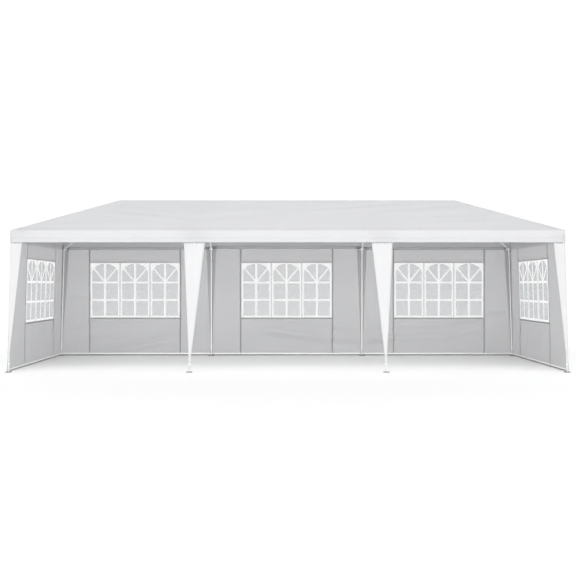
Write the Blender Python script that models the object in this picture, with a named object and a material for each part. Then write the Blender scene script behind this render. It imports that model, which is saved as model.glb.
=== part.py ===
# Marquee tent of 3 x 9 m: a white steel-tube frame under a hipped fabric roof with a valance.
# Eight legs on round foot plates carry it, each behind a tapering fabric skirt. The long front
# side is open. Three wall panels close the back and one closes each end, all with a window.
# Metres, +Z up. The origin is on the ground at the middle of the plan, the open front faces -Y.

import math

import bmesh
import bpy
from mathutils import Matrix, Vector

# Driving dimensions of the fabric cover
LENGTH = 9.0
WIDTH = 3.0
EDGE_HEIGHT = 2.30
RIDGE_HEIGHT = 2.95
RIDGE_LENGTH = 6.09
VALANCE_DROP = 0.19
FABRIC = 0.003
WALL_TOP = 2.295
WALL_BOTTOM = 0.0045

# Driving dimensions of the tube frame
TUBE_RADIUS = 0.0125
SLEEVE_RADIUS = 0.0155
SOCKET_RADIUS = 0.0150
CROSS_SOCKET_RADIUS = 0.0147
EAVE_POLE_HEIGHT = 2.290
RIDGE_POLE_HEIGHT = 2.929
RAFTER_FOOT_HEIGHT = 2.13
MIDDLE_LEG_X = 1.515
CORNER_FOOT_X = 4.535
FRONT_MIDDLE_FOOT_X = 1.600
SOCKET_LENGTH = 0.085
SOCKET_ROOT = 0.007
TOP_SLEEVE_BOTTOM = 2.05
TOP_SLEEVE_TOP = 2.298
FOOT_SLEEVE_TOP = 0.135
FOOT_PLATE_RADIUS = 0.055
FOOT_PLATE_THICKNESS = 0.004
RAIL_HEIGHT = 0.045

# Driving dimensions of the skirts, each a band that narrows down its leg
SKIRT_TOP = 2.285
SKIRT_TIP = 0.147
SKIRT_TIP_WIDTH = 0.030
FRONT_SKIRT_WIDTH = 0.334
BACK_SKIRT_WIDTH = 0.195
FRONT_CORNER_SKIRT_WIDTH = 0.190
BACK_CORNER_SKIRT_WIDTH = 0.110

# Driving dimensions of the windows
WINDOW_BOTTOM = 0.769
WINDOW_TOP = 1.869
CENTRE_WINDOW_WIDTH = 1.812
SIDE_WINDOW_WIDTH = 1.790
LEFT_WINDOW_X = -3.053
RIGHT_WINDOW_X = 3.067
END_WINDOW_WIDTH = 1.600
END_WINDOW_Y = 0.165
FILM = 0.002

# Touching pieces keep this gap
GAP = 0.0003
TUBE_SIDES = 16
PLATE_SIDES = 32

# Layers from outside to inside: valance, skirt, wall, then the sleeves of the frame
HALF_LENGTH = LENGTH / 2
HALF_WIDTH = WIDTH / 2
HALF_RIDGE = RIDGE_LENGTH / 2
VALANCE_BOTTOM = EDGE_HEIGHT - VALANCE_DROP
LAYER = FABRIC + GAP
SKIRT_OUTER = SLEEVE_RADIUS + 2 * LAYER
WALL_OUTER = SLEEVE_RADIUS + LAYER
LEG_Y = HALF_WIDTH - 3 * LAYER - SLEEVE_RADIUS
LEG_X_AT_VALANCE = HALF_LENGTH - 3 * LAYER - SLEEVE_RADIUS
SPLAY = (CORNER_FOOT_X - LEG_X_AT_VALANCE) / VALANCE_BOTTOM

ROOF_SLOPE = (RIDGE_HEIGHT - EDGE_HEIGHT) / HALF_WIDTH
END_SLOPE = (RIDGE_HEIGHT - EDGE_HEIGHT) / (HALF_LENGTH - HALF_RIDGE)
ROOF_DROP = FABRIC * math.hypot(1, ROOF_SLOPE)

WHITE_STEEL = ("white steel", (0.86, 0.87, 0.88), 0.35, 0.0)
WHITE_FABRIC = ("white fabric", (0.84, 0.85, 0.87), 0.6, 0.0)
CLEAR_FILM = ("clear film", (0.70, 0.73, 0.76), 0.2, 0.0)


def clear_scene():
    for old in list(bpy.data.objects):
        bpy.data.objects.remove(old, do_unlink=True)


def make_material(kind):
    name, colour, roughness, metallic = kind
    material = bpy.data.materials.new(name)
    material.use_nodes = True
    shader = material.node_tree.nodes["Principled BSDF"]
    shader.inputs["Base Color"].default_value = (*colour, 1.0)
    shader.inputs["Roughness"].default_value = roughness
    shader.inputs["Metallic"].default_value = metallic
    return material


def add_object(name, shape, kind):
    """One object from a bmesh, with a material of its own."""
    bmesh.ops.recalc_face_normals(shape, faces=shape.faces)
    mesh = bpy.data.meshes.new(name)
    shape.to_mesh(mesh)
    shape.free()
    piece = bpy.data.objects.new(name, mesh)
    bpy.context.scene.collection.objects.link(piece)
    mesh.materials.append(make_material(kind))
    return piece


def cylinder(start, end, radius, sides=TUBE_SIDES):
    """A closed round bar between two points."""
    axis = Vector(end) - Vector(start)
    middle = (Vector(start) + Vector(end)) / 2
    turn = axis.to_track_quat("Z", "Y").to_matrix().to_4x4()
    shape = bmesh.new()
    bmesh.ops.create_cone(
        shape, cap_ends=True, segments=sides, radius1=radius, radius2=radius,
        depth=axis.length, matrix=Matrix.Translation(middle) @ turn)
    return shape


def loft(lower, upper):
    """A closed solid between two outlines with as many points each."""
    shape = bmesh.new()
    bottom = [shape.verts.new(point) for point in lower]
    top = [shape.verts.new(point) for point in upper]
    shape.faces.new(bottom)
    shape.faces.new(top)
    count = len(bottom)
    for i in range(count):
        j = (i + 1) % count
        shape.faces.new((bottom[i], bottom[j], top[j], top[i]))
    return shape


def smooth(piece):
    piece.data.shade_smooth()
    piece.data.set_sharp_from_angle(angle=math.radians(40))


def make_tube(name, start, end):
    """A straight frame tube."""
    piece = add_object(name, cylinder(start, end, TUBE_RADIUS), WHITE_STEEL)
    smooth(piece)
    return piece


def weld(name, shapes):
    """One object from several overlapping closed shapes, joined by unions."""
    piece = add_object(name, shapes[0], WHITE_STEEL)
    for number, shape in enumerate(shapes[1:], start=1):
        helper = add_object(f"{name}_helper_{number}", shape, WHITE_STEEL)
        helper.hide_render = True
        helper.display_type = "WIRE"
        union = piece.modifiers.new(f"union {number}", "BOOLEAN")
        union.operation = "UNION"
        union.solver = "EXACT"
        union.object = helper
    smooth(piece)
    return piece


def toward(start, end, distance):
    """The point at a distance from start on the way to end."""
    start = Vector(start)
    return start + (Vector(end) - start).normalized() * distance


def corner_leg_x(height):
    """How far from the middle a corner leg's axis is at a height: it splays towards its foot."""
    return LEG_X_AT_VALANCE + SPLAY * (VALANCE_BOTTOM - height)


def leg_axis_x(place, side, height):
    """The signed x of a leg's axis at a height."""
    if place == "corner":
        return side_x(side) * corner_leg_x(height)
    if depth_y(side) > 0:
        return side_x(side) * MIDDLE_LEG_X
    lean = (FRONT_MIDDLE_FOOT_X - MIDDLE_LEG_X) * (1 - height / EAVE_POLE_HEIGHT)
    return side_x(side) * (MIDDLE_LEG_X + lean)


def side_x(side):
    return -1 if side.endswith("left") else 1


def depth_y(side):
    return -1 if side.startswith("front") else 1


def leg_point(place, side, height):
    return Vector((leg_axis_x(place, side, height), depth_y(side) * LEG_Y, height))


def ridge_point(place, side):
    """Where the rafter or hip pole of a leg meets the ridge."""
    reach = HALF_RIDGE if place == "corner" else MIDDLE_LEG_X
    return Vector((side_x(side) * reach, 0.0, RIDGE_POLE_HEIGHT))


SIDES = ("front_left", "front_right", "back_left", "back_right")
PLACES = ("corner", "middle")


def make_leg(place, side):
    """A leg with its foot plate, foot sleeve, top sleeve and sockets."""
    foot = leg_point(place, side, 0.0)
    eave = leg_point(place, side, EAVE_POLE_HEIGHT)
    knee = leg_point(place, side, RAFTER_FOOT_HEIGHT)
    shapes = [
        cylinder(foot, foot + Vector((0, 0, FOOT_PLATE_THICKNESS)), FOOT_PLATE_RADIUS, PLATE_SIDES),
        cylinder(leg_point(place, side, FOOT_PLATE_THICKNESS / 2),
                 leg_point(place, side, FOOT_SLEEVE_TOP), SLEEVE_RADIUS),
        cylinder(leg_point(place, side, FOOT_SLEEVE_TOP / 2),
                 leg_point(place, side, EAVE_POLE_HEIGHT), TUBE_RADIUS),
        cylinder(leg_point(place, side, TOP_SLEEVE_BOTTOM),
                 leg_point(place, side, TOP_SLEEVE_TOP), SLEEVE_RADIUS),
        cylinder(knee, toward(knee, ridge_point(place, side), SOCKET_LENGTH), SOCKET_RADIUS)]
    inward = Vector((-side_x(side), 0, 0))
    if place == "corner":
        across = Vector((0, -depth_y(side), 0))
        shapes += [
            cylinder(eave - inward * SOCKET_ROOT, eave + inward * SOCKET_LENGTH, SOCKET_RADIUS),
            cylinder(eave, eave + across * SOCKET_LENGTH, CROSS_SOCKET_RADIUS)]
    else:
        shapes.append(
            cylinder(eave - inward * SOCKET_LENGTH, eave + inward * SOCKET_LENGTH, SOCKET_RADIUS))
    weld(f"{side}_{place}_leg", shapes)


def make_rafter(place, side):
    """The slanting pole from a leg's lower socket to the ridge: a hip pole at the corners."""
    knee = leg_point(place, side, RAFTER_FOOT_HEIGHT)
    ridge = ridge_point(place, side)
    kind = "hip_pole" if place == "corner" else "rafter"
    make_tube(f"{side}_{kind}", toward(knee, ridge, SOCKET_LENGTH + GAP),
              toward(ridge, knee, SOCKET_LENGTH + GAP))


def make_eave_poles():
    """The horizontal poles that join the leg tops."""
    reach = SOCKET_LENGTH + GAP
    corner = corner_leg_x(EAVE_POLE_HEIGHT)
    for depth, y in (("front", -LEG_Y), ("back", LEG_Y)):
        spans = (("left", -corner, -MIDDLE_LEG_X), ("centre", -MIDDLE_LEG_X, MIDDLE_LEG_X),
                 ("right", MIDDLE_LEG_X, corner))
        for bay, x_start, x_end in spans:
            make_tube(f"{depth}_{bay}_eave_pole", (x_start + reach, y, EAVE_POLE_HEIGHT),
                      (x_end - reach, y, EAVE_POLE_HEIGHT))
    for end, x in (("left", -corner), ("right", corner)):
        make_tube(f"{end}_end_eave_pole", (x, reach - LEG_Y, EAVE_POLE_HEIGHT),
                  (x, LEG_Y - reach, EAVE_POLE_HEIGHT))


def ridge_socket(place, side):
    ridge = ridge_point(place, side)
    knee = leg_point(place, side, RAFTER_FOOT_HEIGHT)
    radius = SOCKET_RADIUS if depth_y(side) > 0 else CROSS_SOCKET_RADIUS
    return cylinder(ridge, toward(ridge, knee, SOCKET_LENGTH), radius)


def make_ridge_poles():
    """The ridge in three poles: the outer two carry the connectors that the rafters plug into."""
    inner = MIDDLE_LEG_X - SOCKET_LENGTH
    for end, sign in (("left", -1), ("right", 1)):
        outer_point = ridge_point("corner", f"front_{end}")
        middle_point = ridge_point("middle", f"front_{end}")
        along = Vector((sign * SOCKET_LENGTH, 0, 0))
        shapes = [
            cylinder(outer_point, middle_point, TUBE_RADIUS),
            cylinder(outer_point - along, outer_point, SLEEVE_RADIUS),
            cylinder(middle_point - along, middle_point + along, SLEEVE_RADIUS)]
        shapes += [ridge_socket(place, f"{depth}_{end}")
                   for place in PLACES for depth in ("front", "back")]
        weld(f"{end}_ridge_pole", shapes)
    make_tube("centre_ridge_pole", (GAP - inner, 0, RIDGE_POLE_HEIGHT),
              (inner - GAP, 0, RIDGE_POLE_HEIGHT))


def make_ground_rails():
    """The low rails along the back and both ends, between the foot sleeves."""
    reach = SLEEVE_RADIUS + SPLAY * TUBE_RADIUS + GAP
    corner = corner_leg_x(RAIL_HEIGHT)
    spans = (("left", -corner, -MIDDLE_LEG_X), ("centre", -MIDDLE_LEG_X, MIDDLE_LEG_X),
             ("right", MIDDLE_LEG_X, corner))
    for bay, x_start, x_end in spans:
        make_tube(f"back_{bay}_ground_rail", (x_start + reach, LEG_Y, RAIL_HEIGHT),
                  (x_end - reach, LEG_Y, RAIL_HEIGHT))
    for end, x in (("left", -corner), ("right", corner)):
        make_tube(f"{end}_end_ground_rail", (x, reach - LEG_Y, RAIL_HEIGHT),
                  (x, LEG_Y - reach, RAIL_HEIGHT))


def make_roof_panels():
    """Four mitred panels: two long slopes and two triangular hip ends."""
    seam = GAP / 2
    ridge_reach = HALF_RIDGE - seam
    eave_reach = HALF_LENGTH - seam * 2
    long_slope = ((-eave_reach, HALF_WIDTH), (eave_reach, HALF_WIDTH),
                  (ridge_reach, seam), (-ridge_reach, seam))
    hip_end = ((HALF_LENGTH, GAP - HALF_WIDTH), (HALF_LENGTH, HALF_WIDTH - GAP),
               (HALF_RIDGE + GAP, 0.0))
    panels = (("front_roof_panel", [(x, -y) for x, y in long_slope]),
              ("back_roof_panel", list(long_slope)),
              ("left_roof_end", [(-x, y) for x, y in hip_end]),
              ("right_roof_end", list(hip_end)))
    for name, outline in panels:
        upper = [(x, y, roof_height(x, y)) for x, y in outline]
        lower = [(x, y, z - ROOF_DROP) for x, y, z in upper]
        add_object(name, loft(lower, upper), WHITE_FABRIC)


def roof_height(x, y):
    """The roof's upper side: the lower of the two slopes over a point of the plan."""
    rise = min(ROOF_SLOPE * (HALF_WIDTH - abs(y)), END_SLOPE * (HALF_LENGTH - abs(x)))
    return EDGE_HEIGHT + rise


def make_valances():
    """The upright band that hangs from the roof's edge on all four sides."""
    top = EDGE_HEIGHT - ROOF_DROP - GAP
    for depth, sign in (("front", -1), ("back", 1)):
        outline = [(-HALF_LENGTH, sign * HALF_WIDTH), (HALF_LENGTH, sign * HALF_WIDTH),
                   (HALF_LENGTH, sign * (HALF_WIDTH - FABRIC)),
                   (-HALF_LENGTH, sign * (HALF_WIDTH - FABRIC))]
        add_object(f"{depth}_valance", upright(outline, VALANCE_BOTTOM, top), WHITE_FABRIC)
    reach = HALF_WIDTH - LAYER
    for end, sign in (("left", -1), ("right", 1)):
        outline = [(sign * HALF_LENGTH, -reach), (sign * HALF_LENGTH, reach),
                   (sign * (HALF_LENGTH - FABRIC), reach), (sign * (HALF_LENGTH - FABRIC), -reach)]
        add_object(f"{end}_valance", upright(outline, VALANCE_BOTTOM, top), WHITE_FABRIC)


def upright(outline, bottom, top):
    return loft([(x, y, bottom) for x, y in outline], [(x, y, top) for x, y in outline])


def skirt_width(width, height):
    """A skirt's width at a height, straight from its width at the valance to its tip."""
    share = (height - SKIRT_TIP) / (VALANCE_BOTTOM - SKIRT_TIP)
    return SKIRT_TIP_WIDTH + (width - SKIRT_TIP_WIDTH) * share


def middle_skirt_outline(side, width, height):
    x = leg_axis_x("middle", side, height)
    half = skirt_width(width, height) / 2
    y_outer = depth_y(side) * (LEG_Y + SKIRT_OUTER)
    y_inner = depth_y(side) * (LEG_Y + SKIRT_OUTER - FABRIC)
    return [(x - half, y_outer, height), (x + half, y_outer, height),
            (x + half, y_inner, height), (x - half, y_inner, height)]


def corner_skirt_outline(side, width, height):
    """The bent cross-section of a skirt that wraps a corner leg on both faces."""
    sx = side_x(side)
    sy = depth_y(side)
    width_here = skirt_width(width, height)
    x_outer = corner_leg_x(height) + SKIRT_OUTER
    x_inner = x_outer - FABRIC
    y_outer = LEG_Y + SKIRT_OUTER
    y_inner = y_outer - FABRIC
    bend = [(x_outer - width_here, y_outer), (x_outer, y_outer), (x_outer, y_outer - width_here),
            (x_inner, y_outer - width_here), (x_inner, y_inner), (x_outer - width_here, y_inner)]
    return [(sx * x, sy * y, height) for x, y in bend]


def make_skirts():
    widths = {"front": (FRONT_SKIRT_WIDTH, FRONT_CORNER_SKIRT_WIDTH),
              "back": (BACK_SKIRT_WIDTH, BACK_CORNER_SKIRT_WIDTH)}
    for side in SIDES:
        middle_width, corner_width = widths[side.split("_")[0]]
        add_object(f"{side}_middle_skirt",
                   loft(middle_skirt_outline(side, middle_width, SKIRT_TIP),
                        middle_skirt_outline(side, middle_width, SKIRT_TOP)), WHITE_FABRIC)
        add_object(f"{side}_corner_skirt",
                   loft(corner_skirt_outline(side, corner_width, SKIRT_TIP),
                        corner_skirt_outline(side, corner_width, SKIRT_TOP)), WHITE_FABRIC)


def sheet_with_window(name, edge, window, place):
    """A wall panel with a window opening, and the clear film that closes the opening.

    edge gives the panel's two ends at a height. window is (middle, width) along the panel.
    place turns (along, depth into the sheet, height) into a point."""
    thickness = {"wall": (0.0, FABRIC), "film": ((FABRIC - FILM) / 2, (FABRIC + FILM) / 2)}
    middle, width = window
    left, right = middle - width / 2, middle + width / 2

    def ring(corners, depth):
        return [Vector(place(along, depth, height)) for along, height in corners]

    outer = [(edge(WALL_BOTTOM)[0], WALL_BOTTOM), (edge(WALL_BOTTOM)[1], WALL_BOTTOM),
             (edge(WALL_TOP)[1], WALL_TOP), (edge(WALL_TOP)[0], WALL_TOP)]
    inner = [(left, WINDOW_BOTTOM), (right, WINDOW_BOTTOM), (right, WINDOW_TOP), (left, WINDOW_TOP)]
    shape = bmesh.new()
    rings = [[shape.verts.new(point) for point in ring(corners, depth)]
             for depth in thickness["wall"] for corners in (outer, inner)]
    outer_in, inner_in, outer_out, inner_out = rings
    for i in range(4):
        j = (i + 1) % 4
        for a, b in ((outer_in, inner_in), (inner_in, inner_out), (inner_out, outer_out),
                     (outer_out, outer_in)):
            shape.faces.new((a[i], a[j], b[j], b[i]))
    add_object(f"{name}_wall", shape, WHITE_FABRIC)

    film = [(left + GAP, WINDOW_BOTTOM + GAP), (right - GAP, WINDOW_BOTTOM + GAP),
            (right - GAP, WINDOW_TOP - GAP), (left + GAP, WINDOW_TOP - GAP)]
    inside, outside = thickness["film"]
    add_object(f"{name}_window", loft(ring(film, inside), ring(film, outside)), CLEAR_FILM)


def make_walls():
    """Three panels across the back and one at each end, outside the legs and rails."""
    def back(along, depth, height):
        return along, LEG_Y + SLEEVE_RADIUS + GAP + depth, height

    def corner_edge(height):
        return corner_leg_x(height) + SLEEVE_RADIUS

    inner = MIDDLE_LEG_X - GAP / 2
    outer = MIDDLE_LEG_X + GAP / 2
    sheet_with_window("back_left", lambda z: (-corner_edge(z), -outer),
                      (LEFT_WINDOW_X, SIDE_WINDOW_WIDTH), back)
    sheet_with_window("back_centre", lambda z: (-inner, inner), (0.0, CENTRE_WINDOW_WIDTH), back)
    sheet_with_window("back_right", lambda z: (outer, corner_edge(z)),
                      (RIGHT_WINDOW_X, SIDE_WINDOW_WIDTH), back)

    reach = LEG_Y + WALL_OUTER
    for end, sign in (("left_end", -1), ("right_end", 1)):
        def across(along, depth, height, sign=sign):
            x = corner_leg_x(height) + SLEEVE_RADIUS + GAP + depth
            return sign * x, along, height
        sheet_with_window(end, lambda z: (-reach, reach), (END_WINDOW_Y, END_WINDOW_WIDTH), across)


def main():
    clear_scene()
    for side in SIDES:
        for place in PLACES:
            make_leg(place, side)
            make_rafter(place, side)
    make_eave_poles()
    make_ridge_poles()
    make_ground_rails()
    make_roof_panels()
    make_valances()
    make_skirts()
    make_walls()


main()
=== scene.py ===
import math
import bmesh
import bpy
import numpy as np
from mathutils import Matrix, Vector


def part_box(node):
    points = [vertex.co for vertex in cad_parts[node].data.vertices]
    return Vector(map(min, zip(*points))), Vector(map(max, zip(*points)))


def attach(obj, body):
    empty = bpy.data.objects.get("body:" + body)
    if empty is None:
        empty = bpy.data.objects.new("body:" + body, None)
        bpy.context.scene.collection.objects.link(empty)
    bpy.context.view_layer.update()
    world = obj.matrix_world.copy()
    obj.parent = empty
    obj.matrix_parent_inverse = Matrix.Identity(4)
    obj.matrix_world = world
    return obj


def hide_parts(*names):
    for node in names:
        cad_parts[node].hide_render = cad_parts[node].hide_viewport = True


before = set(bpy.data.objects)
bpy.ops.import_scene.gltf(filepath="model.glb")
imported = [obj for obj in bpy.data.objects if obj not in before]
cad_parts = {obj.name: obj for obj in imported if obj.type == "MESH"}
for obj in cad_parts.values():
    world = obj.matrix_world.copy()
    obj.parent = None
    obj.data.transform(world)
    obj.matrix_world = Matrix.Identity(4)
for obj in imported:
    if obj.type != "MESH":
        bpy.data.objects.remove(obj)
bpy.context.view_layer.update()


class settings(dict):  # a dictionary whose values are also read as names, such as wall.step
    __getattr__ = dict.__getitem__


# Sizes

def meshPoints(mesh):  # every vertex, one row each
    flat = np.empty(len(mesh.vertices) * 3, np.float32)
    mesh.vertices.foreach_get("co", flat)
    return flat.reshape(-1, 3).astype(float)


def nodePoints(name):
    return meshPoints(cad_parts[name].data)


def rim(points, side, axis=2, reach=1e-4):
    # the points within reach of the lowest (side -1) or the highest (side 1) place along an axis
    value = side * points[:, axis]
    return points[value > value.max() - reach]


def readTent():
    # the sizes that every piece follows, all taken from the CAD nodes
    valance, roof = nodePoints("front_valance"), nodePoints("front_roof_panel")
    backWall, endWall = nodePoints("back_centre_wall"), nodePoints("right_end_wall")
    flatSkirt, bentSkirt = nodePoints("front_right_middle_skirt"), nodePoints("front_right_corner_skirt")
    ridge = rim(roof, 1, reach=1e-3)
    low, high = rim(endWall, -1).mean(axis=0), rim(endWall, 1).mean(axis=0)
    splay = (low[0] - high[0]) / (high[2] - low[2])
    return settings(
        halfLength=valance[:, 0].max(), halfWidth=-valance[:, 1].min(), fabric=np.ptp(valance[:, 1]),
        valanceBottom=valance[:, 2].min(), edgeHeight=rim(roof, -1, axis=1)[:, 2].max(),
        ridgeHeight=ridge[:, 2].max(), halfRidge=ridge[:, 0].max(),
        wallBottom=backWall[:, 2].min(), wallTop=backWall[:, 2].max(), wallY=backWall[:, 1].mean(),
        skirtY=abs(flatSkirt[:, 1].mean()), skirtTop=flatSkirt[:, 2].max(),
        skirtTip=flatSkirt[:, 2].min(), cornerY=abs(bentSkirt[:, 1].min()),
        splay=splay, endWallFoot=low[0] + splay * low[2])  # the end wall's x at the ground


tent = readTent()
tent["drop"] = tent.edgeHeight - tent.valanceBottom
print("frame read:", {key: round(float(value), 4) for key, value in tent.items()})


def smoothStep(low, high, value):
    share = np.clip((value - low) / (high - low), 0, 1)
    return share * share * (3 - 2 * share)


def bump(value, centre, width):  # a soft hill, 1 at its centre
    return np.exp(-((value - centre) / width) ** 2)


def within(value, low, high, margin):  # 1 between low and high, 0 beyond the margin on both sides
    return smoothStep(low - margin, low, value) * (1 - smoothStep(high, high + margin, value))


def unit(vectors):
    return vectors / np.linalg.norm(vectors, axis=-1, keepdims=True)


def circle(sides):  # points round the unit circle, one row each
    turns = np.linspace(0, 2 * math.pi, sides, endpoint=False)
    return np.stack([np.cos(turns), np.sin(turns)], axis=1)


def lengths(path):  # the way along a path to each of its points
    return np.concatenate([[0], np.cumsum(np.linalg.norm(np.diff(path, axis=0), axis=1))])


# Meshes

def addObject(name, data):
    piece = bpy.data.objects.new(name, data)
    bpy.context.scene.collection.objects.link(piece)
    return piece


def write(items, key, values, kind=np.float32):  # one value of every item, from a whole array
    items.foreach_set(key, np.asarray(values, kind).ravel())


def meshFrom(name, points, faces, uv=None):
    # points as rows of x, y, z and faces as rows of four corners
    mesh = bpy.data.meshes.new(name)
    mesh.vertices.add(len(points))
    write(mesh.vertices, "co", points)
    mesh.loops.add(faces.size)
    write(mesh.loops, "vertex_index", faces, np.int32)
    mesh.polygons.add(len(faces))
    write(mesh.polygons, "loop_start", np.arange(0, faces.size, faces.shape[1]), np.int32)
    mesh.update(calc_edges=True)
    mesh.validate()
    if uv is not None:
        write(mesh.uv_layers.new(name="cloth").data, "uv", uv[faces.ravel()])
    mesh.shade_smooth()
    return addObject(name, mesh)


def gridFaces(rows, columns, wrap=False, keep=None):
    # quads between neighbouring rows and columns of a grid, wrapped round where it closes on itself
    r, c = np.meshgrid(np.arange(rows - 1), np.arange(columns if wrap else columns - 1), indexing="ij")
    right = (c + 1) % columns
    faces = np.stack([r * columns + c, r * columns + right,
                      (r + 1) * columns + right, (r + 1) * columns + c], axis=-1)
    return (faces if keep is None else faces[keep]).reshape(-1, 4)


def clean(piece, distance=1e-5):
    # merges doubles, drops loose points and turns the faces one way
    shape = bmesh.new()
    shape.from_mesh(piece.data)
    bmesh.ops.remove_doubles(shape, verts=shape.verts, dist=distance)
    loose = [v for v in shape.verts if not v.link_faces]
    bmesh.ops.delete(shape, geom=loose, context="VERTS")
    bmesh.ops.recalc_face_normals(shape, faces=shape.faces)
    shape.to_mesh(piece.data)
    shape.free()
    return piece


def clothSurface(name, points, uv, thickness, **options):
    # a sheet of cloth through a grid of points, given its thickness evenly to both sides
    faces = gridFaces(*points.shape[:2], **options)
    piece = clean(meshFrom(name, points.reshape(-1, 3), faces, uv.reshape(-1, 2)))
    solid = piece.modifiers.new("thickness", "SOLIDIFY")
    solid.thickness = thickness
    solid.offset = 0.0
    solid.use_even_offset = False
    return piece


def tape(path, across, outward, width, thickness):
    # a flat band along a path: at each point a rectangle, width along across and thickness along outward
    path, across, outward = (np.broadcast_to(np.asarray(a, float), np.asarray(path).shape)
                             for a in (path, across, outward))
    corners = [(-0.5, 0.0), (0.5, 0.0), (0.5, 1.0), (-0.5, 1.0)]
    rings = np.stack([path + across * width * a + outward * thickness * b for a, b in corners], axis=1)
    count = len(path)
    ends = np.array([[3, 2, 1, 0], [4 * (count - 1) + k for k in range(4)]])
    uv = np.stack([np.broadcast_to(width * np.array([a for a, b in corners]), (count, 4)),
                   np.broadcast_to(lengths(path)[:, None], (count, 4))], axis=-1)
    return rings.reshape(-1, 3), np.vstack([gridFaces(count, 4, wrap=True), ends]), uv.reshape(-1, 2)


def ringLoop(rings):
    # a closed surface through rings of points: each ring joined to the next, and the last to the first
    count, sides = rings.shape[:2]
    number = np.arange(count * sides).reshape(count, sides)
    corners = [number, np.roll(number, -1, axis=1)]
    corners += [np.roll(corner, -1, axis=0) for corner in corners[::-1]]
    flat = rings.reshape(-1, 3)
    return flat, np.stack(corners, axis=-1).reshape(-1, 4), flat[:, :2]


# feel is how far to both sides the direction of a stitch is read
thread = settings(pitch=0.016, length=0.013, width=0.0056, height=0.0034, feel=0.002, map=0.1)


def stitches(path, outward):
    # short straight stitches at an even pitch along a path, each a small bar that shows on both faces
    along = lengths(path)
    centres = np.arange(thread.pitch / 2, along[-1], thread.pitch)
    outward = np.broadcast_to(np.asarray(outward, float), path.shape)

    def at(where, values):
        return np.stack([np.interp(where, along, values[:, k]) for k in range(3)], axis=1)

    run = unit(at(centres + thread.feel, path) - at(centres - thread.feel, path))
    out = unit(at(centres, outward))
    signs = np.array([(a, b, c) for a in (-1, 1) for b in (-1, 1) for c in (-1, 1)], float) / 2
    corners = (at(centres, path)[:, None] + run[:, None] * signs[None, :, :1] * thread.length
               + np.cross(run, out)[:, None] * signs[None, :, 1:2] * thread.width
               + out[:, None] * signs[None, :, 2:] * thread.height)
    box = np.array([(0, 1, 3, 2), (4, 6, 7, 5), (0, 4, 5, 1), (2, 3, 7, 6), (0, 2, 6, 4), (1, 5, 7, 3)])
    faces = (box[None] + 8 * np.arange(len(centres))[:, None, None]).reshape(-1, 4)
    points = corners.reshape(-1, 3)
    return points, faces, points[:, :2] * thread.map


def joined(name, parts):
    # several closed shapes as one mesh, each given as points, faces and uv
    points, faces, uv = zip(*parts)
    starts = np.cumsum([0] + [len(part) for part in points[:-1]])
    faces = [part + start for part, start in zip(faces, starts)]
    return clean(meshFrom(name, np.vstack(points), np.vstack(faces), np.vstack(uv)), distance=1e-7)


def place(piece, material, slotName, *replaced):
    piece.data.materials.append(material)
    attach(piece, "root")
    if replaced:
        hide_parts(*replaced)
    return piece


# Materials

def startMaterial(name):
    material = bpy.data.materials.new(name)
    material.use_nodes = True
    material.node_tree.nodes.clear()
    return material, material.node_tree


def addNode(tree, kind, links=None, give=0, **values):
    # one node's output: links sets its sockets by name or number, each to a value or to another output,
    # and values sets its own settings, or sockets by name
    node = tree.nodes.new("ShaderNode" + kind)
    for key, value in values.items():
        if hasattr(node, key):
            setattr(node, key, value)
        else:
            node.inputs[key.replace("_", " ")].default_value = value
    for key, source in (links or {}).items():
        if isinstance(source, bpy.types.NodeSocket):
            tree.links.new(source, node.inputs[key])
        else:
            node.inputs[key].default_value = source
    return node.outputs[give] if node.outputs else node


def calc(tree, operation, first, second):
    return addNode(tree, "Math", {0: first, 1: second}, operation=operation)


def remap(tree, value, start, end, soft=False, clamp=True):
    # a value's range start carried to the range end, along a straight line or a soft step
    return addNode(tree, "MapRange", {"Value": value}, From_Min=start[0], From_Max=start[1], To_Min=end[0],
                   To_Max=end[1], interpolation_type="SMOOTHSTEP" if soft else "LINEAR", clamp=clamp)


noiseSpan = (0.3, 0.7)  # where most values of a noise lie


def noise(tree, places, scale, detail):
    return addNode(tree, "TexNoise", {"Vector": places}, Scale=scale, Detail=detail, give="Fac")


def relief(tree, height, strength, distance, **links):
    return addNode(tree, "Bump", {"Height": height, **links}, Strength=strength, Distance=distance)


def scaled(tree, colour, level):
    return addNode(tree, "VectorMath", {0: colour, "Scale": level}, operation="SCALE")


def mixed(tree, share, none, full):  # between two colours
    return addNode(tree, "Mix", {0: share, 6: none, 7: full}, data_type="RGBA", give=2)


def bySide(tree, outer, inner):
    # a colour for the faces that look away from the tent's middle and another for those that look at it,
    # to paint shade and light on one side of a cloth: the normal's dot product with the place is positive
    # on the outside
    normal, places = (addNode(tree, "TexCoord", give=kind) for kind in ("Normal", "Object"))
    dot = addNode(tree, "VectorMath", {0: normal, 1: places}, operation="DOT_PRODUCT", give="Value")
    outside = calc(tree, "GREATER_THAN", dot, 0.0)
    return mixed(tree, outside, (*inner, 1), (*outer, 1))


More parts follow.
